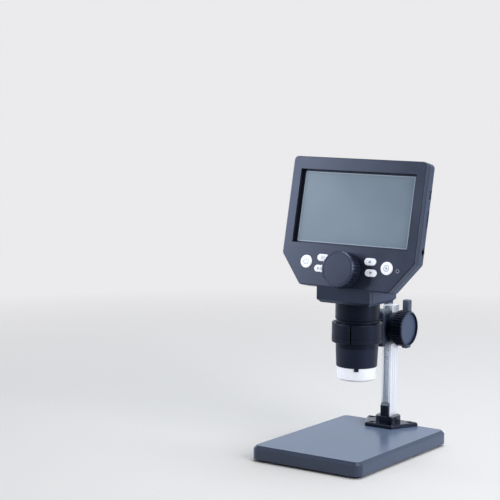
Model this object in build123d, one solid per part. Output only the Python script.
"""Digital microscope with a tilted LCD head on a rack-and-pinion lifting stand.

Millimetres. +Z is up, the front of the object faces -Y and +X is on the right
of somebody who looks at the screen. The origin is the centre of the base, on
the surface that the rubber feet stand on.
"""
from build123d import *
import math
import os

os.makedirs("parts", exist_ok=True)

# ---------------------------------------------------------------- clearances
slide_gap = 0.15          # carriage to column, flat faces
shaft_gap = 0.05          # shafts in their bushes, radial
ring_gap = 0.08           # barrel in the holder ring, radial
key_gap = 0.25            # keys in their holes, all round
seat_gap = 0.05           # fixed pieces in their pockets
gear_backlash = 0.14      # taken off each tooth's thickness
beyond = 500.0            # longer than the object, for what cuts right through it

# ---------------------------------------------------------------- base plate
base_width = 93.4
base_depth = 134.4
base_corner = 6.0
base_bevel = 2.3
base_skin = 4.2           # thickness over the underside pocket
base_rim = 6.0            # width of the wall round the pocket
base_rib = 2.4
plate_underside = 1.8     # height of the plate over the desk
stage_level = 12.0        # the face that the specimen lies on
foot_radius = 5.9
foot_inset = 8.0          # foot centre in from the plate's sides
foot_recess = 0.8
foot_boss_wall = 1.7
foot_counterbore = 1.2
foot_screw_radius = 1.45
foot_screw_head = 2.8
foot_screw_length = 6.5

# -------------------------------------------------------- column and its foot
column_inset = 9.9        # column centre in from the plate's rear edge
column_width = 8.5
column_depth = 11.4
column_edge = 0.7
column_top = 107.0
groove_width = 4.6
groove_depth = 4.2
collar_width = 18.2
collar_depth = 16.4
collar_corner = 6.0
collar_top = 19.7
flange_thickness = 3.0
flange_front_width = 24.0
flange_rear_width = 47.5
flange_ahead = 16.8       # front edge before the column's centre
flange_behind = 7.7       # rear edge behind it
flange_chamfer = 1.0
flange_screw_front = (7.5, -12.5)    # across, and from the column's centre
flange_screw_rear = (17.0, 3.7)
flange_screw_radius = 1.45
flange_screw_head = 2.7
flange_screw_seat = 1.4   # thickness left under the heads
flange_screw_length = 6.0
tongue_width = 7.0
tongue_reach = 1.6        # in front of the column's front face
tongue_top = 29.3
column_bolt_radius = 2.0
column_bolt_head = 3.9
column_bolt_sink = 3.2
column_bolt_length = 16.0

# ------------------------------------------------------------- rack and pinion
lift_module = 0.5
lift_teeth = 20
lift_rack_addendum = 0.35
lift_rack_recess = 0.6    # pitch line behind the column's front face
lift_pinion_width = 3.6
rack_strip_width = 4.4
pinion_level = 91.5       # height of the pinion's axis at rest
lift_shaft_radius = 2.5

# ------------------------------------------------------------------- carriage
block_width = 15.0
block_reach = 13.8        # front face before the pinion's axis
block_below = 14.5        # from the pinion's axis down to the housing's underside
block_above = 13.5
block_round = 3.0
step_above = 7.0          # where the housing steps back from the column
block_step = 4.8          # how far it steps back
wrap_below = 12.5
wrap_above = 5.5
fork_width = 22.0
fork_gap = 1.0            # wall between the gib strip's pocket and the fork
fork_thickness = 6.0
fork_below = 19.2
fork_above = 19.0
fork_slot = 12.0
gear_room_radius = 6.2
left_bush_radius = 4.0
gib_width = 6.0
gib_thickness = 1.0
gib_height = 14.0
gib_screw_radius = 1.5
gib_screw_spacing = 8.0
gib_screw_key = 0.75
gib_screw_sink = 0.6

# ---------------------------------------------------------------- height knob
hub_radius = 11.5
hub_collar = 1.0          # how much the hub's second step stands out
hub_start = 7.9           # along X, just outside the carriage
hub_step = 3.2
rib_start = 14.0
lift_knob_end = 22.6
knob_radius = 13.9
knob_ribs = 36
rib_notch = 0.78
knob_edge = 1.1
cap_radius = 12.3
cap_depth = 1.6
cap_recess = 1.6
clip_radius = 4.2
clip_thickness = 0.8
clip_groove = 2.0         # radius at the bottom of the clip's groove

# ---------------------------------------------------------- barrel and its ring
throat = 45.6             # barrel axis to the column's front face
shoulder_radius = 16.85
shoulder_height = 13.2    # up to the underside of the neck
shoulder_over = 2.3       # its underside over the ring
barrel_radius = 16.15
joint_under = 3.8         # the nose sleeve's upper end, under the ring
barrel_bore = 14.2
shoulder_band = 1.9       # plain band between its underside and the turned line
barrel_groove = 0.6
barrel_groove_depth = 0.45
spigot_radius = 14.0
spigot_bore = 12.7
spigot_wall = 3.0         # from the wider bore to the barrel's top
spigot_height = 5.0
ring_wall = 3.07
ring_above = 8.5          # top over the pinion's axis
ring_height = 15.0
ring_slit = 1.0
ring_slit_lip = 0.45      # the slit's broken edges
ring_slit_turn = 15.0     # from the front towards the right, in degrees
ring_line_rise = 4.3
ring_edge = 0.7
arm_width = 13.0
arm_seat = 1.9            # wall between the screw heads and the barrel
arm_screw_radius = 1.2
arm_screw_head = 2.4
sleeve_length = 14.7
sleeve_end_radius = 15.55
sleeve_bore = 14.5
sleeve_lip = 1.2
joint_radius = 15.0
joint_length = 4.0
nose_reach = 10.1         # below the sleeve
nose_radius = 14.4        # inside the sleeve
nose_step = 0.6           # how much wider it is below
nose_wall = 1.5
nose_lip = 1.6
nose_insert = 2.6
nose_key_width = 3.4
nose_key_height = 2.2
nose_key_turn = 30.0      # from the front towards the right, in degrees
led_count = 8
led_circle_radius = 10.4
led_radius = 1.3
led_height = 1.5
led_board_thickness = 1.2
led_board_bore = 6.5
lock_ring_radius = 15.7
lock_ring_height = 2.8
lock_ring_notches = 6

# ------------------------------------------------------------------ objective
lens_under = 4.6          # below the sleeve's upper end, at rest
lens_length = 21.4
lens_radius = 14.1
lens_waist = 12.4
lens_flange = 3.0
lens_bore = 8.0
front_lens_rise = 2.4
front_lens_curve = 20.0
rear_lens_rise = 9.0
rear_lens_thickness = 2.2
lens_ring_height = 2.4
focus_arm_thickness = 3.4
focus_arm_over = 7.0      # how far the arm climbs past the pinion
sensor_board_half = 10.4
sensor_board_thickness = 1.2
sensor_half = 4.2
sensor_height = 1.4

# ---------------------------------------------------------------- display
window_width = 100.0
window_height = 56.6
window_corner = 0.6
lcd_margin_side = 2.48    # window's edge to the picture
lcd_margin_top = 1.37
lcd_rim = 1.2             # glass under the frame's lip
lcd_thickness = 2.2
lcd_setback = 3.4         # picture behind the front face
bezel_side = 2.7          # frame beyond the window, left and right
bezel_over = 2.9          # above it
bezel_under = 5.9         # below it, where the display's cable leaves
bezel_depth = 3.2
bezel_lip = 0.12          # how far the frame stands before the picture
gasket_width = 2.6

# ------------------------------------------------------------------------- head
head_tilt = 12.2          # the screen leans back by this, in degrees
border_side = 7.4         # window's edge to the head's side
border_top = 9.6
cheek = 8.7               # window's lower edge to the start of the cut corners
chin = 31.7               # window's lower edge to the head's bottom
cut_corner = 18.5         # how much narrower the bottom is, each side
head_depth = 14.3
front_depth = 4.2
head_corner = 3.4
front_round = 0.8
rear_round = 3.0
head_wall = 1.9
front_skin = 2.0
rear_skin = 2.0
parting_width = 0.45      # the fine groove between the covers
parting_depth = 0.4

# ------------------------------------------------------------------ neck, hump
neck_half_width = 23.0
neck_ahead = 22.0         # neck's front face before the barrel's axis
neck_behind = 18.0
neck_height = 12.36       # barrel's top to the head's bottom edge
neck_edge = 2.5
neck_wall = 2.0
hump_shoulder_rise = 24.5 # where the wedge's slope begins, above the barrel's top
hump_top_drop = 8.5       # where it ends, below the screen's centre

# ------------------------------------------------------------------- controls
focus_below = 18.4        # window's lower edge to the focus knob's axis
focus_knob_end = 12.0
focus_knob_gap = 0.5
focus_shaft_radius = 2.0
focus_module = 0.6
focus_teeth = 10
focus_rack_addendum = 0.33
focus_pinion_front = -8.0
focus_pinion_rear = -11.4
bush_radius = 4.0
bush_flange = 5.6
bush_flange_thickness = 1.6
bush_tail = 6.0
key_round_radius = 4.9
key_round_place = (34.8, 14.0)       # across, and below the window
pill_length = 9.9
pill_height = 5.4
pill_upper = (20.4, 10.2)
pill_lower = (22.0, 18.5)
key_proud = 0.8
key_edge = 0.5
key_travel = 0.5
key_flange = 0.8
key_lip = 0.9
pill_lip = 0.6
key_clear = 0.1           # left over the switch at the end of the travel
key_stem = 1.4
key_board_front = -5.4
key_board_thickness = 1.2
key_board_below = 7.7
key_board_margin = 1.6
key_board_cut = 17.0      # width of the cut-out round the focus shaft
switch_size = 5.2
switch_height = 1.2
lamp_place = (43.9, 15.3)
lamp_radius = 0.8
lamp_foot = 1.4

# -------------------------------------------------------------------- contents
main_board_front = -8.1
main_board_thickness = 1.4
main_board_gap = 3.0      # to the head's side walls
main_board_over = 2.4     # to its top wall
main_board_under = 3.7    # below the window
port_depth = -11.0        # ports' centre line behind the front face
port_inset = 0.7          # sockets' mouths behind the side face
port_gap = 0.3            # sockets in their openings, all round
socket_wall = 0.35
usb_rise = 14.8           # above the screen's centre
usb_mouth = (8.4, 3.2)
usb_length = 6.6
usb_tongue = (5.0, 5.4, 0.6)
card_rise = -3.0
card_mouth = (11.8, 1.9)
card_body = (13.0, 12.6, 1.8)
jack_rise = -27.4
jack_mouth = 3.0
jack_bore = 1.75
jack_length = 12.4
jack_body_height = 2.65
processor_chip = (-6.0, 8.0, 14.0, 14.0)     # place across and up, width, height
memory_chip = (16.0, 12.0, 9.0, 12.0)
power_chip = (-28.0, 14.0, 8.0, 5.0)
cable_socket = (-32.0, -14.0, 12.0, 5.0)
chip_height = 1.2
battery_size = (36.0, 26.0, 6.5)
battery_round = 1.6
battery_shift = -3.0      # along the wedge's slope, from its middle
upper_post_x = 46.0
lower_post_x = 49.5
lower_post_radius = 2.6
lower_post_gap = 1.4
post_meeting = -8.1       # where the covers' posts meet, behind the front face
cover_screw_radius = 0.8
cover_screw_head = 1.9
cover_screw_seat = 1.5
cover_screw_length = 9.0

# ------------------------------------------------------------- sizes worked out
tilt = math.radians(head_tilt)
foot_x = base_width / 2 - foot_inset
foot_y = base_depth / 2 - foot_inset
column_y = base_depth / 2 - column_inset
column_front = column_y - column_depth / 2
column_rear = column_y + column_depth / 2
column_core = (column_front + groove_depth + column_rear) / 2
lift_radius = lift_module * lift_teeth / 2
rack_line = column_front + lift_rack_recess
pinion_y = rack_line - lift_radius
bush_bore = lift_shaft_radius + shaft_gap
room_half = lift_pinion_width / 2 + 0.5
block_half = block_width / 2
block_front = pinion_y - block_reach
track_half = column_width / 2 + slide_gap
fork_front = column_rear + slide_gap + gib_thickness
barrel_y = column_front - throat
block_bottom = pinion_level - block_below
block_top = pinion_level + block_above
block_shoulder = pinion_level + step_above
wrap_bottom = pinion_level - wrap_below
wrap_top = pinion_level + wrap_above
fork_bottom = pinion_level - fork_below
fork_top = pinion_level + fork_above
ring_top = pinion_level + ring_above
ring_bottom = ring_top - ring_height
ring_line = ring_bottom + ring_line_rise
barrel_shoulder = ring_top + shoulder_over
barrel_top = barrel_shoulder + shoulder_height
spigot_floor = barrel_top - spigot_wall
spigot_top = barrel_top + spigot_height
barrel_joint = ring_bottom - joint_under
sleeve_bottom = barrel_joint - sleeve_length
nose_bottom = sleeve_bottom - nose_reach
lens_bottom = barrel_joint - lens_under
ring_radius = barrel_radius + ring_gap + ring_wall
led_seat = sleeve_bottom + nose_insert + led_board_thickness + seat_gap
neck_floor = barrel_top + neck_wall
neck_front = barrel_y - neck_ahead
neck_rear = barrel_y + neck_behind
window_drop = window_height / 2
head_half_width = window_width / 2 + border_side
head_rise = window_drop + border_top
head_side_drop = window_drop + cheek
head_drop = window_drop + chin
head_foot_half = head_half_width - cut_corner
head_y = neck_front + head_drop * math.sin(tilt)
head_z = barrel_top + neck_height + head_drop * math.cos(tilt)
hump_shoulder = barrel_top + hump_shoulder_rise
hump_top = head_z - hump_top_drop
apron_rear = neck_front + front_depth
lcd_width = window_width - 2 * lcd_margin_side
lcd_height = window_height - 2 * lcd_margin_top
bezel_front = -lcd_setback + bezel_lip
bezel_half = window_width / 2 + bezel_side
bezel_rise = window_drop + bezel_over
bezel_drop = window_drop + bezel_under
focus_drop = window_drop + focus_below
focus_radius = focus_module * focus_teeth / 2
main_board_rear = main_board_front - main_board_thickness
key_switch_top = key_board_front + switch_height
lens_top = lens_bottom + lens_length
lamp_x = lamp_place[0]
lamp_drop = window_drop + lamp_place[1]
head_frame = Plane(
    origin=(0, head_y, head_z),
    x_dir=(1, 0, 0),
    z_dir=(0, -math.cos(tilt), math.sin(tilt)),
)


# --------------------------------------------------------------------- helpers
def block(x0, x1, y0, y1, z0, z1):
    """A box between two corners."""
    centre = Pos((x0 + x1) / 2, (y0 + y1) / 2, (z0 + z1) / 2)
    return centre * Box(x1 - x0, y1 - y0, z1 - z0)


def disc(radius, z0, z1, x=0.0, y=0.0):
    """An upright cylinder between two heights."""
    return Pos(x, y, (z0 + z1) / 2) * Cylinder(radius, z1 - z0)


def tube(outer, inner, z0, z1, x=0.0, y=0.0):
    return disc(outer, z0, z1, x, y) - disc(inner, z0 - 1, z1 + 1, x, y)


def along_x(radius, x0, x1, y, z):
    """A cylinder that lies along X."""
    return Pos((x0 + x1) / 2, y, z) * Rot(0, 90, 0) * Cylinder(radius, x1 - x0)


def along_y(radius, y0, y1, x, z):
    """A cylinder that lies along Y."""
    return Pos(x, (y0 + y1) / 2, z) * Rot(90, 0, 0) * Cylinder(radius, y1 - y0)


def slab(outline, z0, z1):
    """A flat outline raised between two heights."""
    return Pos(0, 0, z0) * extrude(outline, z1 - z0)


def in_head(shape):
    """Moves a shape from the head's own frame, with X right, Y up the screen and
    Z out of it, to its place."""
    return head_frame.location * shape


def four(x, y):
    """The four places that mirror one another about X and Y."""
    return [(-x, -y), (x, -y), (x, y), (-x, y)]


def write(node, shape):
    """Writes one sub-part."""
    solids = shape.solids() if hasattr(shape, "solids") else shape
    whole = solids[0] if len(solids) == 1 else Compound(children=list(solids))
    export_step(whole, f"parts/{node}.step")


def group(shapes):
    """Separate solids that share a node."""
    return Compound(children=[solid for shape in shapes for solid in shape.solids()])


# ----------------------------------------------------------------------- gears
def involute(angle):
    return math.tan(angle) - angle


def gear_outline(module, teeth):
    """A spur gear with involute flanks, with one tooth centred on +X."""
    pressure = math.radians(20)
    pitch = module * teeth / 2
    base = pitch * math.cos(pressure)
    tip = pitch + module
    root = pitch - 1.25 * module
    half_pitch = (math.pi * module / 2 - gear_backlash) / (2 * pitch)

    def half_angle(radius):
        if radius <= base:
            return half_pitch + involute(pressure)
        return half_pitch + involute(pressure) - involute(math.acos(base / radius))

    steps = 4
    radii = [base + (tip - base) * i / steps for i in range(steps + 1)]
    radii = [root] + radii if root < base else radii
    points = []
    for tooth in range(teeth):
        middle = 2 * math.pi * tooth / teeth
        for radius in radii:
            angle = middle - half_angle(radius)
            points.append((radius * math.cos(angle), radius * math.sin(angle)))
        for radius in reversed(radii):
            angle = middle + half_angle(radius)
            points.append((radius * math.cos(angle), radius * math.sin(angle)))
    return make_face(Polyline(*points, close=True))


def rack_gaps(module, addendum, centre, low, high, depth_line):
    """The gaps of a rack whose teeth point along -X from a pitch line at X = depth_line.
    One gap is centred on Y = centre, and they fill the stretch from low to high."""
    slope = math.tan(math.radians(20))
    pitch = math.pi * module
    dedendum = 1.2 * module
    half_gap = (pitch / 2 + gear_backlash) / 2
    open_half = half_gap + (addendum + 0.5) * slope
    shut_half = half_gap - dedendum * slope
    front = depth_line - addendum - 0.5
    back = depth_line + dedendum
    gaps = []
    first = math.ceil((low - centre) / pitch)
    last = math.floor((high - centre) / pitch)
    for step in range(first, last + 1):
        y = centre + step * pitch
        gaps.append(
            Polygon(
                (front, y - open_half),
                (back, y - shut_half),
                (back, y + shut_half),
                (front, y + open_half),
                align=None,
            )
        )
    return gaps


# ----------------------------------------------------------------------- stand
def base_plate():
    """Cast plate with a bevelled rim, hollow underneath, with bosses for its screws."""
    outline = RectangleRounded(base_width, base_depth, base_corner)
    plate = slab(outline, plate_underside, stage_level)
    rim = plate.edges().group_by(Axis.Z)[-1]
    plate = chamfer(rim, base_bevel)
    inner = RectangleRounded(
        base_width - 2 * base_rim, base_depth - 2 * base_rim, base_corner
    )
    ceiling = stage_level - base_skin
    pocket = slab(inner, plate_underside - 1, ceiling)
    half_rib = base_rib / 2
    for y in (-base_depth / 4, 0.0, base_depth / 4):
        pocket -= block(-base_width, base_width, y - half_rib, y + half_rib, 0, ceiling)
    pocket -= block(-half_rib, half_rib, -base_depth, base_depth, 0, ceiling)
    for x, y in four(foot_x, foot_y):
        pocket -= disc(foot_radius + foot_boss_wall, 0, ceiling, x, y)
    for x, y in flange_screws():
        pocket -= disc(2.5 * flange_screw_radius, 0, ceiling, x, y)
    pocket -= disc(1.8 * column_bolt_head, 0, ceiling, 0, column_core)
    plate -= pocket
    through = 2 * stage_level
    for x, y in four(foot_x, foot_y):
        plate -= disc(foot_radius + 4 * seat_gap, 0, plate_underside + foot_recess, x, y)
        blind = foot_counterbore + foot_screw_length + 10 * seat_gap
        plate -= disc(foot_screw_radius + seat_gap, 0, blind, x, y)
    for x, y in flange_screws():
        tip = stage_level + flange_screw_seat - flange_screw_length - 10 * seat_gap
        plate -= disc(flange_screw_radius + seat_gap, tip, through, x, y)
    plate -= disc(column_bolt_radius + 2 * seat_gap, 0, through, 0, column_core)
    sink = plate_underside + column_bolt_sink
    return plate - disc(column_bolt_head + 4 * seat_gap, 0, sink, 0, column_core)


def flange_screws():
    """The four screws of the column's foot."""
    places = []
    for x, y in (flange_screw_front, flange_screw_rear):
        places.append((-x, column_y + y))
        places.append((x, column_y + y))
    return places


def pan_screw(radius, head_radius, head_height, length):
    """A pan-head screw, its head on top of Z = 0 and its shank below it."""
    head = disc(head_radius, 0, head_height)
    head = fillet(head.edges().group_by(Axis.Z)[-1], head_height * 0.45)
    slot = 0.24 * head_radius
    reach = 0.62 * head_radius
    floor = 0.4 * head_height
    head -= block(-reach, reach, -slot, slot, floor, 2 * head_height)
    head -= block(-slot, slot, -reach, reach, floor, 2 * head_height)
    return head + disc(radius, -length, 0)


def rubber_foot():
    """A turned rubber pad with a counterbore for its screw, on the desk at Z = 0."""
    top = plate_underside + foot_recess - seat_gap
    pad = disc(foot_radius, 0, top)
    pad = chamfer(pad.edges().group_by(Axis.Z)[0], 0.5)
    pad -= disc(foot_screw_radius + 3 * seat_gap, -1, 2 * top)
    return pad - disc(foot_screw_head + 6 * seat_gap, -1, foot_counterbore)


def foot_screw():
    head_height = 0.75 * foot_counterbore
    screw = pan_screw(foot_screw_radius, foot_screw_head, head_height, foot_screw_length)
    return Pos(0, 0, foot_counterbore) * Rot(180, 0, 0) * screw


def column_outline():
    """Extruded bar with a groove down its front for the rack."""
    bar = Pos(0, column_y) * Rectangle(column_width, column_depth)
    bar = fillet(bar.vertices(), column_edge)
    groove = Pos(0, column_front + groove_depth / 2) * Rectangle(
        groove_width, groove_depth
    )
    return bar - groove


def column():
    """The bar, with a blind hole in its foot for the bolt."""
    bar = slab(column_outline(), stage_level, column_top)
    blind = plate_underside + column_bolt_sink + column_bolt_length + 20 * seat_gap
    return bar - disc(column_bolt_radius + seat_gap, 0, blind, 0, column_core)


def column_foot():
    """Moulded foot: a fan-shaped flange, a rounded collar and a tongue that closes
    the lower end of the column's groove."""
    front = column_y - flange_ahead
    rear = column_y + flange_behind
    fan = Polygon(
        (-flange_front_width / 2, front),
        (flange_front_width / 2, front),
        (flange_rear_width / 2, rear),
        (-flange_rear_width / 2, rear),
        align=None,
    )
    fan = fillet(fan.vertices(), 2 * flange_chamfer)
    flange = slab(fan, stage_level, stage_level + flange_thickness)
    flange = chamfer(flange.edges().group_by(Axis.Z)[-1], flange_chamfer)
    middle = rear - collar_depth / 2 - 0.5 * flange_chamfer
    ring = Pos(0, middle) * RectangleRounded(collar_width, collar_depth, collar_corner)
    collar = slab(ring, stage_level, collar_top)
    collar = chamfer(collar.edges().group_by(Axis.Z)[-1], 0.6 * flange_chamfer)
    tongue_front = column_front - tongue_reach
    tongue_back = column_front + groove_depth - 4 * seat_gap
    side = Polygon(
        (tongue_front, stage_level),
        (tongue_back, stage_level),
        (tongue_back, tongue_top + 0.6 * tongue_reach),
        (column_front, tongue_top + 0.6 * tongue_reach),
        (tongue_front, tongue_top - 0.9 * tongue_reach),
        align=None,
    )
    tongue = extrude(Plane.YZ * side, tongue_width / 2, both=True)
    cut = Pos(0, column_y) * Rectangle(
        column_width + 2 * seat_gap, column_depth + 2 * seat_gap
    )
    over = 2 * tongue_top
    foot = flange + collar - slab(cut, 0, over)
    half = tongue_width
    outside = tongue & block(-half, half, 0, column_front - seat_gap, 0, over)
    nib_half = groove_width / 2 - seat_gap
    inside = tongue & block(-nib_half, nib_half, tongue_front, column_rear, 0, over)
    foot = foot + outside + inside
    seat = stage_level + flange_screw_seat
    for x, y in flange_screws():
        foot -= disc(flange_screw_radius + 4 * seat_gap, 0, over, x, y)
        foot -= disc(flange_screw_head + 4 * seat_gap, seat, over, x, y)
    return foot


def rack_strip():
    """Toothed strip that lies in the column's groove."""
    back = column_front + groove_depth - seat_gap
    tip = rack_line - lift_rack_addendum
    bottom = tongue_top + 0.6 * tongue_reach + 4 * seat_gap
    outline = Polygon(
        (tip, bottom), (back, bottom), (back, column_top), (tip, column_top), align=None
    )
    for gap in rack_gaps(
        lift_module,
        lift_rack_addendum,
        pinion_level,
        bottom + lift_module,
        column_top - lift_module,
        rack_line,
    ):
        outline -= gap
    return extrude(Plane.YZ * outline, rack_strip_width / 2, both=True)


# -------------------------------------------------------------------- carriage
def carriage():
    """The block that rides on the column: a gear housing in front, a box that wraps
    the column, and a tall forked plate behind it."""
    side = Polygon(
        (block_front, block_bottom),
        (block_front, block_top),
        (column_front - block_step, block_top),
        (column_front - block_step, block_shoulder + block_round),
        (column_front - 2 * slide_gap, block_shoulder),
        (column_front - 2 * slide_gap, block_bottom),
        align=None,
    )
    side = fillet(side.vertices().group_by(Axis.X)[0], block_round)
    housing = extrude(Plane.YZ * side, block_half, both=True)
    crown = housing.edges().filter_by(Axis.Y).group_by(Axis.Z)[-1]
    housing = fillet(crown, block_round)
    body = housing + block(
        -block_half,
        block_half,
        column_front - block_step / 2,
        fork_front + fork_gap,
        wrap_bottom,
        wrap_top,
    )
    body += fork()
    over = 2 * column_top
    rear = fork_front
    body -= block(-track_half, track_half, column_front - slide_gap, rear, 0, over)
    rack_half = rack_strip_width / 2 + 2 * slide_gap
    rack_front = rack_line - lift_rack_addendum - 2 * slide_gap
    body -= block(-rack_half, rack_half, rack_front, column_rear, 0, over)
    reach = 2 * block_width
    body -= along_x(gear_room_radius, -room_half, reach, pinion_y, pinion_level)
    body -= along_x(left_bush_radius, -reach, 0, pinion_y, pinion_level)
    for z in gib_screw_levels():
        body -= along_y(gib_screw_radius + seat_gap, fork_front - 1, over, 0, z)
    for z in arm_screw_levels():
        body -= along_y(arm_screw_radius + seat_gap, 0, block_front + arm_bite(), 0, z)
    return body


def fork():
    """Tall plate behind the column, open at the top and the bottom between its horns."""
    rear = fork_front + fork_gap + fork_thickness
    half = fork_width / 2
    plate = block(-half, half, fork_front + fork_gap, rear, fork_bottom, fork_top)
    plate = fillet(plate.edges().filter_by(Axis.Y), 0.2 * fork_thickness)
    plate = chamfer(plate.edges().filter_by(Axis.X), 0.1 * fork_thickness)
    slot = fork_slot / 2
    over = 2 * fork_top
    plate -= block(-slot, slot, 0, 2 * rear, wrap_top, over)
    return plate - block(-slot, slot, 0, 2 * rear, 0, wrap_bottom)


def arm_bite():
    """Depth of the holder ring's screws in the carriage."""
    return 5 * arm_screw_radius


def gib_screw_levels():
    middle = (wrap_bottom + wrap_top) / 2
    return (middle - gib_screw_spacing / 2, middle + gib_screw_spacing / 2)


def arm_screw_levels():
    margin = 1.3 * arm_screw_head
    return (ring_bottom + margin, ring_top - margin)


def shaft_bushes():
    """Two flanged bearing bushes for the lifting shaft."""
    step = track_half + seat_gap
    wide = gear_room_radius - seat_gap
    slim = left_bush_radius - seat_gap
    right = along_x(wide, step, block_half, pinion_y, pinion_level)
    right += along_x(slim, room_half, step + seat_gap, pinion_y, pinion_level)
    left = along_x(slim, -block_half, -room_half, pinion_y, pinion_level)
    bore = along_x(bush_bore, -block_width, block_width, pinion_y, pinion_level)
    return group([right - bore, left - bore])


def gib_strip():
    """Plastic strip between the column's back and the tension screws."""
    middle = (wrap_bottom + wrap_top) / 2
    y0 = column_rear + slide_gap
    strip = block(
        -gib_width / 2,
        gib_width / 2,
        y0,
        y0 + gib_thickness - seat_gap,
        middle - gib_height / 2,
        middle + gib_height / 2,
    )
    return strip


def gib_screws():
    """Two socket set screws that press on the gib strip."""
    end = fork_front + fork_gap + fork_thickness - gib_screw_sink
    screws = []
    for z in gib_screw_levels():
        screw = along_y(gib_screw_radius, fork_front, end, 0, z)
        socket = extrude(RegularPolygon(gib_screw_key, 6), gib_screw_radius)
        screws.append(screw - Pos(0, end, z) * Rot(90, 0, 0) * socket)
    return group(screws)


def holder_ring():
    """Split spring ring that holds the barrel, with its arm to the carriage."""
    ring = disc(ring_radius, ring_bottom, ring_top, 0, barrel_y)
    ends = ring.edges().group_by(Axis.Z)
    ring = fillet(ends[0] + ends[-1], ring_edge)
    half = arm_width / 2
    start = barrel_y + ring_radius - ring_wall
    arm = block(-half, half, start, block_front - seat_gap, ring_bottom, ring_top)
    arm = fillet(arm.edges().filter_by(Axis.Y), 2 * ring_edge)
    holder = ring + arm
    depth = ring_edge / 2
    line = tube(
        ring_radius + 1, ring_radius - depth, ring_line - depth, ring_line + depth, 0, barrel_y
    )
    holder -= line - block(-half, half, barrel_y, block_front, 0, 2 * ring_top)
    bore = disc(barrel_radius + ring_gap, 0, 2 * ring_top, 0, barrel_y)
    holder -= bore
    mouth = ring_edge * 0.7
    rim = Pos(0, barrel_y, ring_top - mouth / 2) * Cone(
        barrel_radius + ring_gap, barrel_radius + ring_gap + mouth, mouth
    )
    holder -= rim
    holder -= ring_slit_tool()
    for z in arm_screw_levels():
        holder -= along_y(arm_screw_radius + 4 * seat_gap, barrel_y, block_front, 0, z)
        holder -= along_y(arm_screw_head + 4 * seat_gap, barrel_y, arm_screw_seat(), 0, z)
    return holder


def ring_slit_tool():
    """Radial cut through the ring, with a vee that breaks its outer edges."""
    half = ring_slit / 2
    over = 2 * ring_top
    side = (half + ring_slit_lip) * math.sqrt(2)
    cut = block(-half, half, -2 * ring_radius, 0, 0, over)
    cut += Pos(0, -ring_radius, ring_top) * Rot(0, 0, 45) * Box(side, side, over)
    return on_barrel(Rot(0, 0, ring_slit_turn) * cut)


def arm_screw_seat():
    """Y of the face that the ring's screws pull on."""
    return barrel_y + barrel_radius + arm_seat


def holder_screws():
    """Two screws from inside the ring through its arm into the carriage."""
    seat = arm_screw_seat()
    length = block_front + 0.9 * arm_bite() - seat
    screw = pan_screw(arm_screw_radius, arm_screw_head, 0.55 * arm_screw_head, length)
    turned = Rot(90, 0, 0) * screw
    return group(Pos(0, seat, z) * turned for z in arm_screw_levels())


# ----------------------------------------------------------------------- knobs
def ribbed_body(start, end):
    """A round grip with straight ribs, from Z = start to Z = end, chamfered on its
    outer edge."""
    outline = Circle(knob_radius)
    for place in PolarLocations(knob_radius + rib_notch * 0.25, knob_ribs):
        outline -= place * Circle(rib_notch)
    turned = disc(knob_radius, start, end)
    turned = chamfer(turned.edges().group_by(Axis.Z)[-1], knob_edge)
    return slab(outline, start, end) & turned


def lift_knob():
    """Knob of the lifting shaft, along +Z here, with a stepped hub behind its grip."""
    knob = ribbed_body(rib_start, lift_knob_end)
    knob += disc(hub_radius, hub_start, rib_start + knob_edge)
    knob += disc(hub_radius + hub_collar, hub_start + hub_step, rib_start + knob_edge)
    pocket = lift_knob_end - cap_depth - cap_recess
    knob -= disc(cap_radius, pocket, 2 * lift_knob_end)
    return knob - disc(lift_shaft_radius + seat_gap, 0, 2 * lift_knob_end)


def lift_cap():
    """Disc that closes the knob's end, slightly sunk."""
    top = lift_knob_end - cap_recess
    cap = disc(cap_radius - seat_gap, top - cap_depth + seat_gap, top)
    return fillet(cap.edges().group_by(Axis.Z)[-1], 0.25 * cap_depth)


def lift_pinion():
    """Steel shaft with the pinion cut on it, along +Z here."""
    end = lift_knob_end - cap_depth - cap_recess - seat_gap
    tail = clip_start() - clip_thickness
    shaft = disc(lift_shaft_radius, tail, end)
    shaft = chamfer(shaft.edges().group_by(Axis.Z)[0], 0.15 * lift_shaft_radius)
    half = lift_pinion_width / 2
    shaft += slab(gear_outline(lift_module, lift_teeth), -half, half)
    groove = clip_start()
    return shaft - tube(clip_radius, clip_groove, groove, groove + clip_thickness)


def clip_start():
    """Where the clip's groove begins, just outside the carriage's left face."""
    return -block_half - 1.5 * clip_thickness


def shaft_clip():
    """E-clip in the groove at the shaft's left end."""
    low = clip_start() + seat_gap
    high = clip_start() + clip_thickness - seat_gap
    clip = tube(clip_radius, clip_groove + seat_gap, low, high)
    mouth = 0.8 * clip_groove
    return clip - block(-mouth, mouth, -2 * clip_radius, 0, 2 * low, 0)


def on_lift_axis(shape):
    """From +Z to the lifting shaft's axis along +X, with local X turned to +Y."""
    axis = Plane(origin=(0, pinion_y, pinion_level), x_dir=(0, 1, 0), z_dir=(1, 0, 0))
    return axis.location * shape


def focus_knob():
    """Focus knob in front of the head, in the head's frame about its own axis, with
    a stepped rear rim and a shallow face inside its edge."""
    grip = focus_knob_gap + 2 * knob_edge
    knob = ribbed_body(grip, focus_knob_end)
    knob += disc(knob_radius - knob_edge / 2, focus_knob_gap, grip)
    roof = focus_knob_end - bush_flange_thickness - knob_edge
    knob -= tube(knob_radius - 2 * knob_edge, bush_flange + knob_edge, 0, roof)
    knob -= disc(focus_shaft_radius + seat_gap, 0, focus_shaft_end() + seat_gap)
    rim = knob_radius - 1.7 * knob_edge
    line = focus_knob_end - 0.3 * knob_edge
    return knob - tube(rim, rim - 0.3 * knob_edge, line, 2 * focus_knob_end)


def focus_shaft_end():
    return focus_knob_end - 2 * knob_edge


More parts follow.
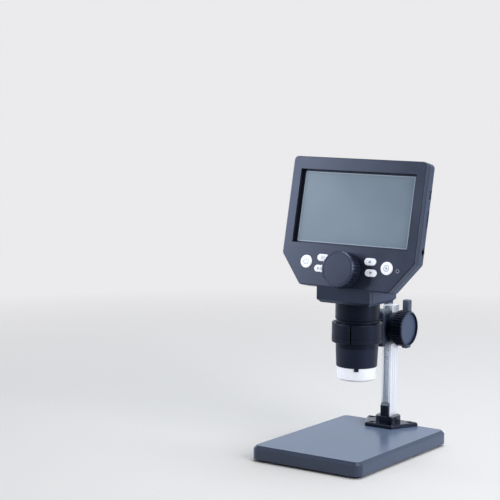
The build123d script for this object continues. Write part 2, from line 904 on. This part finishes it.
def focus_pinion():
    """Focus shaft with its pinion, in the head's frame about its own axis."""
    shaft = disc(focus_shaft_radius, focus_pinion_rear, focus_shaft_end())
    gear = slab(
        gear_outline(focus_module, focus_teeth), focus_pinion_rear, focus_pinion_front
    )
    return shaft + gear


def focus_bush():
    """Flanged bush of the focus shaft, pressed into the front cover from inside."""
    sleeve = disc(bush_radius - seat_gap, -bush_tail, 0)
    flange = -front_skin - bush_flange_thickness
    sleeve += disc(bush_flange, flange, -front_skin - seat_gap)
    return sleeve - disc(focus_shaft_radius + shaft_gap, -2 * bush_tail, bush_tail)


def on_focus_axis(shape):
    return in_head(Pos(0, -focus_drop, 0) * shape)


# ------------------------------------------------------------------ head covers
def head_outline(inset=0.0):
    """Six-sided outline of the head: a wide top whose lower corners are cut off."""
    half = head_half_width - inset
    top = head_rise - inset
    drop = head_drop - inset
    fall = head_drop - head_side_drop
    slant = math.hypot(cut_corner, fall)
    side_drop = head_side_drop - inset * (slant - fall) / cut_corner
    foot = head_foot_half - inset * (slant - cut_corner) / fall
    outline = Polygon(
        (-half, top),
        (-half, -side_drop),
        (-foot, -drop),
        (foot, -drop),
        (half, -side_drop),
        (half, top),
        align=None,
    )
    return fillet(outline.vertices(), max(head_corner - inset, head_corner / 4))


def head_point(rise, out):
    """Y and Z of a point in the middle plane, from its place in the head's frame."""
    y = head_y + rise * math.sin(tilt) - out * math.cos(tilt)
    z = head_z + rise * math.cos(tilt) + out * math.sin(tilt)
    return y, z


def neck_block(inset=0.0):
    """Neck and the wedge behind the screen, as a side profile drawn out in X."""
    front = neck_front + inset
    rear = neck_rear - inset
    floor = barrel_top + inset
    ridge = hump_rear_y() - inset
    crest = hump_top - 0.6 * inset
    join_y, join_z = head_point(3 * head_wall - head_drop, -head_depth / 2)
    _, front_top = head_point(-head_drop, 0)
    profile = Polygon(
        (front, floor),
        (rear, floor),
        (rear, hump_shoulder - 0.3 * inset),
        (ridge, crest),
        (ridge - head_depth / 2, crest),
        (join_y + 1.5 * inset, join_z),
        (front, front_top + head_wall / 3),
        align=None,
    )
    neck = extrude(Plane.YZ * profile, neck_half_width - inset, both=True)
    if inset == 0:
        neck = chamfer(neck.edges().group_by(Axis.Z)[0], neck_edge)
    return neck


def hump_rear_y():
    """Where the wedge runs out on the back of the head."""
    rise = -hump_top_drop / math.cos(tilt)
    return head_point(rise, -head_depth - neck_wall / 2)[0]


def split_level():
    """Height at which the tilted and the upright parting faces meet."""
    reach = apron_rear - head_y
    rise = (reach - front_depth * math.cos(tilt)) / math.sin(tilt)
    return head_point(rise, -front_depth)[1]


def above(level):
    return block(-beyond, beyond, -beyond, beyond, level, beyond)


def below(level):
    return block(-beyond, beyond, -beyond, beyond, -beyond, level)


def parting_tool():
    """Everything in front of the two covers' parting faces, tilted on the head and
    upright on the neck."""
    tilted = in_head(slab(Rectangle(beyond, beyond), -front_depth, beyond))
    upright = block(-beyond, beyond, -beyond, apron_rear, -beyond, split_level())
    return (tilted & above(split_level())) + upright


def parting_groove():
    """The fine line that shows between the covers, cut into the rear one's edge."""
    band = slab(
        head_outline(-1) - head_outline(parting_depth),
        -front_depth - parting_width,
        -front_depth,
    )
    tilted = (in_head(band) & above(split_level())) - neck_block()
    cut = block(
        -neck_half_width - 1,
        neck_half_width + 1,
        apron_rear,
        apron_rear + parting_width,
        barrel_top + neck_edge,
        split_level(),
    )
    return tilted + (cut - neck_block(parting_depth))


def head_shell():
    """Both covers as one hollow moulding, before it is parted."""
    tray = slab(head_outline(), -head_depth, 0)
    tray = fillet(tray.edges().group_by(Axis.Z)[0], rear_round)
    tray = fillet(tray.edges().group_by(Axis.Z)[-1], front_round)
    hollow = slab(head_outline(head_wall), -head_depth + rear_skin, -front_skin)
    shell = in_head(tray) + neck_block()
    return shell - in_head(hollow) - neck_block(neck_wall)


def post_places():
    """Place and radius of the covers' screw posts in the head's frame. The upper two
    are slim, in the strip between the display and the top wall."""
    upper = (head_rise - head_wall + bezel_rise) / 2
    slim = (head_rise - head_wall - bezel_rise) / 2 - seat_gap
    lower = -bezel_drop - lower_post_radius - lower_post_gap
    places = []
    for sign in (-1, 1):
        places.append((sign * upper_post_x, upper, slim))
        places.append((sign * lower_post_x, lower, lower_post_radius))
    return places


def front_cover(shell):
    """The front moulding, with its window, key holes and screw posts."""
    cover = shell & parting_tool()
    window = RectangleRounded(window_width, window_height, window_corner)
    cuts = [slab(window, -2 * front_skin, beyond)]
    for _, x, y, form in key_places():
        hole = Pos(x, y) * key_outline(form, key_gap)
        cuts.append(slab(hole, -2 * front_skin, beyond))
    cuts.append(disc(bush_radius, -beyond, beyond, 0, -focus_drop))
    cuts.append(disc(lamp_radius + seat_gap, -beyond, beyond, lamp_x, -lamp_drop))
    for cut in cuts:
        cover -= in_head(cut)
    for x, y, radius in post_places():
        post = disc(radius, post_meeting, -front_skin / 2, x, y)
        bore = disc(cover_screw_radius, -beyond, -1.3 * front_skin, x, y)
        cover += in_head(post - bore)
    return cover


def rear_cover(shell):
    """The rear moulding, with the neck, the ports and the sunk screws."""
    cover = shell - parting_tool() - parting_groove()
    for x, y, radius in post_places():
        cover += in_head(
            disc(radius, -head_depth + rear_skin / 2, post_meeting - seat_gap, x, y)
        )
        shank = cover_screw_radius + 5 * seat_gap
        head = cover_screw_head + 4 * seat_gap
        cover -= in_head(disc(shank, -beyond, 0, x, y))
        cover -= in_head(disc(head, -beyond, cover_screw_seat - head_depth, x, y))
    cover -= disc(spigot_radius + 2 * seat_gap, 0, neck_floor + 1, 0, barrel_y)
    start = head_half_width - 4 * head_wall
    for rise, mouth in ((usb_rise, usb_mouth), (card_rise, card_mouth)):
        length, height = mouth
        slot = block(
            start,
            beyond,
            rise - length / 2,
            rise + length / 2,
            port_depth - height / 2,
            port_depth + height / 2,
        )
        cover -= in_head(slot)
    return cover - in_head(along_x(jack_mouth, start, beyond, jack_rise, port_depth))


def cover_screws():
    """Four screws that hold the covers together, from behind."""
    screw = pan_screw(
        cover_screw_radius - seat_gap,
        cover_screw_head,
        cover_screw_head / 2,
        cover_screw_length,
    )
    turned = Pos(0, 0, cover_screw_seat - head_depth) * Rot(180, 0, 0) * screw
    return group(in_head(Pos(x, y, 0) * turned) for x, y, _ in post_places())


# ---------------------------------------------------------------- head contents
def display_bezel():
    """Black metal frame of the display, with the panel let into it."""
    frame = block(
        -bezel_half,
        bezel_half,
        -bezel_drop,
        bezel_rise,
        bezel_front - bezel_depth,
        bezel_front,
    )
    back = -lcd_setback - lcd_rim / 2
    picture = slab(Rectangle(lcd_width, lcd_height), back, beyond)
    seat = slab(
        Rectangle(lcd_width + 2 * lcd_rim, lcd_height + 2 * lcd_rim),
        -lcd_setback - lcd_thickness - seat_gap,
        -lcd_setback - seat_gap / 2,
    )
    return frame - picture - seat


def display_panel():
    """Liquid crystal glass, with its raised polariser in the frame's opening."""
    rim = 2 * lcd_rim - 2 * seat_gap
    glass = slab(
        Rectangle(lcd_width + rim, lcd_height + rim),
        -lcd_setback - lcd_thickness,
        -lcd_setback - 2 * seat_gap,
    )
    face = slab(
        Rectangle(lcd_width - 2 * seat_gap, lcd_height - 2 * seat_gap),
        -lcd_setback - 3 * seat_gap,
        -lcd_setback,
    )
    return glass + face


def display_gasket():
    """Foam frame between the front cover and the display."""
    slack = 8 * seat_gap
    opening = RectangleRounded(
        window_width + slack, window_height + slack, window_corner
    )
    outside = Rectangle(
        window_width + 2 * gasket_width, window_height + 2 * gasket_width
    )
    return slab(outside - opening, bezel_front + seat_gap, -front_skin - seat_gap)


def main_board():
    """Circuit board behind the display, with its largest chips."""
    half = head_half_width - head_wall - main_board_gap
    top = head_rise - head_wall - main_board_over
    bottom = -window_drop - main_board_under
    board = block(-half, half, bottom, top, main_board_rear, main_board_front)
    for x, y, radius in post_places():
        board -= disc(radius + lower_post_gap / 2, -beyond, beyond, x, y)
    for x, y, width, height in (processor_chip, memory_chip, power_chip):
        board += Pos(x, y, main_board_rear) * Box(width, height, 2 * chip_height)
    x, y, width, height = cable_socket
    board += Pos(x, y, main_board_rear) * Box(width, height, 3 * chip_height)
    front = block(-half, half, bottom, top, main_board_front, beyond)
    return board - front


def key_board():
    """Small board behind the keys, cut out round the focus shaft."""
    rear = key_board_front - key_board_thickness
    board = slab(head_outline(head_wall + key_board_margin), rear, key_board_front)
    top = -window_drop - key_board_below
    board -= block(-beyond, beyond, top, beyond, -beyond, beyond)
    half = key_board_cut / 2
    low = -focus_drop - 1.5 * bush_radius
    board -= block(-half, half, low, beyond, -beyond, beyond)
    reach = lower_post_x - lower_post_radius - lower_post_gap / 2
    return board & block(-reach, reach, -beyond, beyond, -beyond, beyond)


def key_places():
    """Name, place and form of each key in the head's frame."""
    names = (
        ("power_key", "ok_key", key_round_place, "round"),
        ("menu_key", "up_key", pill_upper, "pill"),
        ("mode_key", "down_key", pill_lower, "pill"),
    )
    places = []
    for left, right, (x, below_window), form in names:
        drop = window_drop + below_window
        places.append((left, -x, -drop, form))
        places.append((right, x, -drop, form))
    return places


def key_outline(form, grow=0.0):
    """Round or pill-shaped face of a key, grown all round."""
    if form == "round":
        return Circle(key_round_radius + grow)
    return SlotOverall(pill_length + 2 * grow, pill_height + 2 * grow)


def key(x, y, form):
    """A moulded key with a rounded face, a flange behind the cover and a stem."""
    under = -front_skin - 2 * seat_gap
    cap = slab(key_outline(form), under - seat_gap, key_proud)
    cap = fillet(cap.edges().group_by(Axis.Z)[-1], key_edge)
    lip = key_lip if form == "round" else pill_lip
    rest = slab(key_outline(form, lip), under - key_flange, under)
    stem = disc(key_stem, key_switch_top + key_travel + key_clear, under)
    return in_head(Pos(x, y, 0) * (cap + rest + stem))


def key_switches():
    """Six tact switches on the key board."""
    level = key_board_front + switch_height / 2
    switch = Box(switch_size, switch_size, switch_height - 2 * seat_gap)
    return group(in_head(Pos(x, y, level) * switch) for _, x, y, _ in key_places())


def status_lamp():
    """Light pipe in its pinhole, from the key board to the front face."""
    start = key_board_front + 2 * seat_gap
    pipe = disc(lamp_radius, start, seat_gap, lamp_x, -lamp_drop)
    foot = disc(lamp_foot, start, start + lamp_foot, lamp_x, -lamp_drop)
    return in_head(pipe + foot)


def usb_socket():
    """Charging and data socket, a rolled steel shell with its tongue."""
    width, height = usb_mouth
    width -= 2 * port_gap
    height -= 2 * port_gap
    hollow = Box(usb_length, width - 2 * socket_wall, height - 2 * socket_wall)
    shell = Box(usb_length, width, height) - Pos(socket_wall, 0, 0) * hollow
    length, tongue_width, thickness = usb_tongue
    tongue = Box(length, tongue_width, thickness)
    tongue = Pos((length - usb_length) / 2, 0, 0) * tongue
    place = Pos(head_half_width - port_inset - usb_length / 2, usb_rise, port_depth)
    return in_head(place * (shell + tongue))


def card_socket():
    """Memory card socket, a low steel box that is open at the side."""
    length, width, height = card_body
    hollow = Box(length, width - 4 * socket_wall, height - 2 * socket_wall)
    shell = Box(length, width, height) - Pos(2 * socket_wall, 0, 0) * hollow
    place = Pos(
        head_half_width - head_wall - port_gap - length / 2,
        card_rise,
        main_board_rear - seat_gap - height / 2,
    )
    return in_head(place * shell)


def video_socket():
    """Round jack for the video lead."""
    end = head_half_width - port_inset
    start = end - jack_length
    neck_start = head_half_width - head_wall - 2 * port_gap
    barrel = along_x(jack_mouth - port_gap, neck_start, end, jack_rise, port_depth)
    top = main_board_rear - seat_gap
    body = block(
        start,
        neck_start + port_gap,
        jack_rise - jack_mouth,
        jack_rise + jack_mouth,
        top - jack_body_height,
        top,
    )
    bore = along_x(jack_bore, start + jack_bore, beyond, jack_rise, port_depth)
    return in_head(barrel + body - bore)


def battery():
    """Lithium pouch cell, taped to the inside of the wedge's sloping wall."""
    low = Vector(0, neck_rear - neck_wall, hump_shoulder - 0.3 * neck_wall)
    high = Vector(0, hump_rear_y() - neck_wall, hump_top - 0.6 * neck_wall)
    along = (high - low).normalized()
    middle = (low + high) * 0.5 + along * battery_shift
    wall = Plane(origin=middle, x_dir=(1, 0, 0), z_dir=along.cross(Vector(1, 0, 0)))
    width, height, thick = battery_size
    cell = Pos(0, 0, -thick / 2 - seat_gap) * Box(width, height, thick)
    cell = fillet(cell.edges().filter_by(Axis.Y), battery_round)
    return wall.location * cell


# ------------------------------------------------------------------ barrel parts
def on_barrel(shape):
    """Moves a shape from the origin's upright axis to the barrel's."""
    return Pos(0, barrel_y, 0) * shape


def barrel_tube():
    """Upper barrel: a shoulder with a turned line under the neck, a plain length for
    the ring, and a spigot that goes up through the neck's floor."""
    shoulder = disc(shoulder_radius, barrel_shoulder, barrel_top - seat_gap)
    low_edge = shoulder.edges().group_by(Axis.Z)[0]
    body = chamfer(low_edge, shoulder_radius - barrel_radius - ring_gap)
    body += disc(barrel_radius, barrel_joint, barrel_shoulder + 1)
    line = barrel_shoulder + shoulder_band
    floor = shoulder_radius - barrel_groove_depth
    body -= tube(shoulder_radius + 1, floor, line, line + barrel_groove)
    body += disc(spigot_radius, barrel_top - 1, spigot_top)
    body += disc(
        joint_radius - seat_gap, barrel_joint - joint_length, barrel_joint + 1
    )
    body -= disc(barrel_bore, 0, spigot_floor)
    return on_barrel(body - disc(spigot_bore, 0, beyond))


def lock_ring():
    """Notched nut on the spigot, inside the neck."""
    base = neck_floor + seat_gap
    top = base + lock_ring_height
    nut = tube(lock_ring_radius, spigot_radius + seat_gap, base, top)
    notch = Box(lock_ring_height, lock_ring_height, lock_ring_height)
    for place in PolarLocations(lock_ring_radius, lock_ring_notches):
        nut -= Pos(0, 0, top) * place * notch
    return on_barrel(nut)


def nose_sleeve():
    """Lower barrel, slightly tapered, that carries the light and the clear nose, with
    a small lug that keys the nose."""
    edge = 6 * seat_gap
    joint_floor = barrel_joint - joint_length - 4 * seat_gap
    lip_top = led_seat + sleeve_lip + 4 * seat_gap
    profile = Polygon(
        (sleeve_bore, sleeve_bottom),
        (sleeve_end_radius - edge, sleeve_bottom),
        (sleeve_end_radius, sleeve_bottom + edge),
        (barrel_radius, barrel_joint - seat_gap),
        (joint_radius + seat_gap, barrel_joint - seat_gap),
        (joint_radius + seat_gap, joint_floor),
        (sleeve_bore, joint_floor),
        (sleeve_bore, lip_top),
        (sleeve_bore - sleeve_lip, lip_top),
        (sleeve_bore - sleeve_lip, led_seat + seat_gap),
        (sleeve_bore, led_seat + seat_gap),
        align=None,
    )
    sleeve = revolve(Plane.XZ * profile, Axis.Z)
    return on_barrel(sleeve + nose_lug())


def nose_lug(gap=0.0):
    """The lug about the upright axis, grown by a gap for its notch in the nose."""
    half = nose_key_width / 2 + gap
    lug = block(
        -half,
        half,
        -sleeve_end_radius - gap,
        gap - sleeve_bore,
        sleeve_bottom - nose_key_height - gap,
        sleeve_bottom + 6 * seat_gap,
    )
    return Rot(0, 0, nose_key_turn) * lug


def clear_nose():
    """Clear hood round the light, open below, with a turned-in lip and a notch for
    the sleeve's lug."""
    inner = nose_radius - nose_wall
    slim = nose_radius - seat_gap
    outer = nose_radius + nose_step
    step = nose_lip * 0.75
    profile = Polygon(
        (inner, sleeve_bottom + nose_insert),
        (slim, sleeve_bottom + nose_insert),
        (slim, sleeve_bottom - seat_gap),
        (outer, sleeve_bottom - seat_gap),
        (outer - 0.2 * nose_wall, nose_bottom + step),
        (outer - nose_wall, nose_bottom),
        (inner - nose_lip, nose_bottom),
        (inner - nose_lip, nose_bottom + step),
        (inner - 0.2 * nose_wall, nose_bottom + 1.3 * step),
        align=None,
    )
    nose = revolve(Plane.XZ * profile, Axis.Z)
    return on_barrel(nose - nose_lug(seat_gap))


def led_board():
    """Ring-shaped board that carries the lamps and lets the lens look through."""
    radius = sleeve_bore - 2 * seat_gap
    return on_barrel(
        tube(radius, led_board_bore, led_seat - led_board_thickness, led_seat)
    )


def led_lamps():
    """Eight lamps under the ring-shaped board."""
    top = led_seat - led_board_thickness
    lamp = disc(led_radius, top - led_height, top - seat_gap / 2)
    lamp = fillet(lamp.edges().group_by(Axis.Z)[0], 0.6 * led_radius)
    places = PolarLocations(led_circle_radius, led_count)
    return group(on_barrel(place * lamp) for place in places)


# ----------------------------------------------------------------- lens assembly
def focus_arm_span():
    """Front and rear Y of the cell's arm, and the height of the focus pinion."""
    middle, level = head_point(-focus_drop, (focus_pinion_front + focus_pinion_rear) / 2)
    half = 0.45 * (focus_pinion_front - focus_pinion_rear)
    return middle - half, middle + half, level


def lens_cell():
    """Sliding cell of the objective: a spool in the barrel's bore with a toothed arm
    that climbs beside the light path to the focus pinion."""
    cell = disc(lens_waist, lens_bottom, lens_top)
    cell += disc(lens_radius, lens_bottom, lens_bottom + lens_flange)
    cell += disc(lens_radius, lens_top - lens_flange, lens_top)
    cell = on_barrel(cell - disc(lens_bore, 0, beyond))
    front, rear, level = focus_arm_span()
    arm = block(
        focus_radius - focus_rack_addendum,
        focus_radius + focus_arm_thickness,
        front,
        rear,
        lens_top - lens_flange,
        level + focus_arm_over,
    )
    toothed = 2 * focus_arm_over
    for gap in rack_gaps(
        focus_module,
        focus_rack_addendum,
        -focus_drop,
        -focus_drop - toothed / 2,
        -focus_drop + toothed / 2,
        focus_radius,
    ):
        arm -= in_head(slab(gap, -beyond, beyond))
    return cell + (arm & on_barrel(disc(spigot_bore - 5 * seat_gap, 0, beyond)))


def lens_glass():
    """The objective's two lenses in the cell's bore."""
    radius = lens_bore - seat_gap
    top = lens_bottom + front_lens_rise
    rim = top - 0.65 * front_lens_rise
    front = disc(radius, rim, top)
    ball = Pos(0, 0, top + 0.9 * front_lens_curve) * Sphere(front_lens_curve)
    front += ball & disc(radius, lens_bottom, top)
    middle = lens_bottom + rear_lens_rise
    half = rear_lens_thickness / 2
    return group([on_barrel(front), on_barrel(disc(radius, middle - half, middle + half))])


def lens_spacer():
    """Thin tube that holds the two lenses apart."""
    low = lens_bottom + front_lens_rise + seat_gap
    high = lens_bottom + rear_lens_rise - rear_lens_thickness / 2 - seat_gap
    return on_barrel(tube(lens_bore - seat_gap, 0.85 * lens_bore, low, high))


def lens_ring():
    """Threaded ring that keeps the rear lens down."""
    low = lens_bottom + rear_lens_rise + rear_lens_thickness / 2 + seat_gap
    return on_barrel(
        tube(lens_bore - seat_gap, 0.8 * lens_bore, low, low + lens_ring_height)
    )


def sensor_board():
    """Camera board on the spigot's top, notched for the focus arm."""
    low = spigot_top + seat_gap
    half = sensor_board_half
    board = on_barrel(block(-half, half, -half, half, low, low + sensor_board_thickness))
    _, rear, _ = focus_arm_span()
    free = focus_arm_thickness / 4
    notch = block(
        focus_radius - 2 * free,
        focus_radius + focus_arm_thickness + free,
        -beyond,
        rear + free,
        0,
        beyond,
    )
    return board - notch


def image_sensor():
    """Image sensor chip with its cover glass, face down over the lens."""
    half = sensor_half
    chip = block(-half, half, -half, half, spigot_top - sensor_height, spigot_top)
    return on_barrel(chip)


# ----------------------------------------------------------------- the whole set
def write_stand():
    feet = four(foot_x, foot_y)
    write("base_plate", base_plate())
    write("rubber_feet", group(Pos(x, y, 0) * rubber_foot() for x, y in feet))
    write("foot_screws", group(Pos(x, y, 0) * foot_screw() for x, y in feet))
    write("column_foot", column_foot())
    screw = pan_screw(
        flange_screw_radius,
        flange_screw_head,
        flange_screw_head / 2,
        flange_screw_length,
    )
    seat = stage_level + flange_screw_seat
    write("flange_screws", group(Pos(x, y, seat) * screw for x, y in flange_screws()))
    write("column", column())
    bolt = pan_screw(
        column_bolt_radius, column_bolt_head, 0.6 * column_bolt_head, column_bolt_length
    )
    place = Pos(0, column_core, plate_underside + column_bolt_sink) * Rot(180, 0, 0)
    write("column_bolt", place * bolt)
    write("rack_strip", rack_strip())


def write_carriage():
    write("carriage", carriage())
    write("shaft_bushes", shaft_bushes())
    write("gib_strip", gib_strip())
    write("gib_screws", gib_screws())
    write("holder_ring", holder_ring())
    write("holder_screws", holder_screws())
    write("height_knob", on_lift_axis(lift_knob()))
    write("height_knob_cap", on_lift_axis(lift_cap()))
    write("lift_pinion", on_lift_axis(lift_pinion()))
    write("shaft_clip", on_lift_axis(shaft_clip()))


def write_head():
    shell = head_shell()
    write("front_cover", front_cover(shell))
    write("rear_cover", rear_cover(shell))
    write("cover_screws", cover_screws())
    write("display_bezel", in_head(display_bezel()))
    write("display_panel", in_head(display_panel()))
    write("display_gasket", in_head(display_gasket()))
    write("main_board", in_head(main_board()))
    write("key_board", in_head(key_board()))
    write("key_switches", key_switches())
    write("status_lamp", status_lamp())
    write("usb_socket", usb_socket())
    write("card_socket", card_socket())
    write("video_socket", video_socket())
    write("battery", battery())
    for name, x, y, form in key_places():
        write(name, key(x, y, form))


def write_optics():
    write("focus_bush", on_focus_axis(focus_bush()))
    write("focus_knob", on_focus_axis(focus_knob()))
    write("focus_pinion", on_focus_axis(focus_pinion()))
    write("barrel_tube", barrel_tube())
    write("barrel_lock_ring", lock_ring())
    write("nose_sleeve", nose_sleeve())
    write("clear_nose", clear_nose())
    write("led_board", led_board())
    write("led_lamps", led_lamps())
    write("lens_cell", lens_cell())
    write("lens_glass", lens_glass())
    write("lens_spacer", lens_spacer())
    write("lens_ring", lens_ring())
    write("sensor_board", sensor_board())
    write("image_sensor", image_sensor())


write_stand()
write_carriage()
write_head()
write_optics()
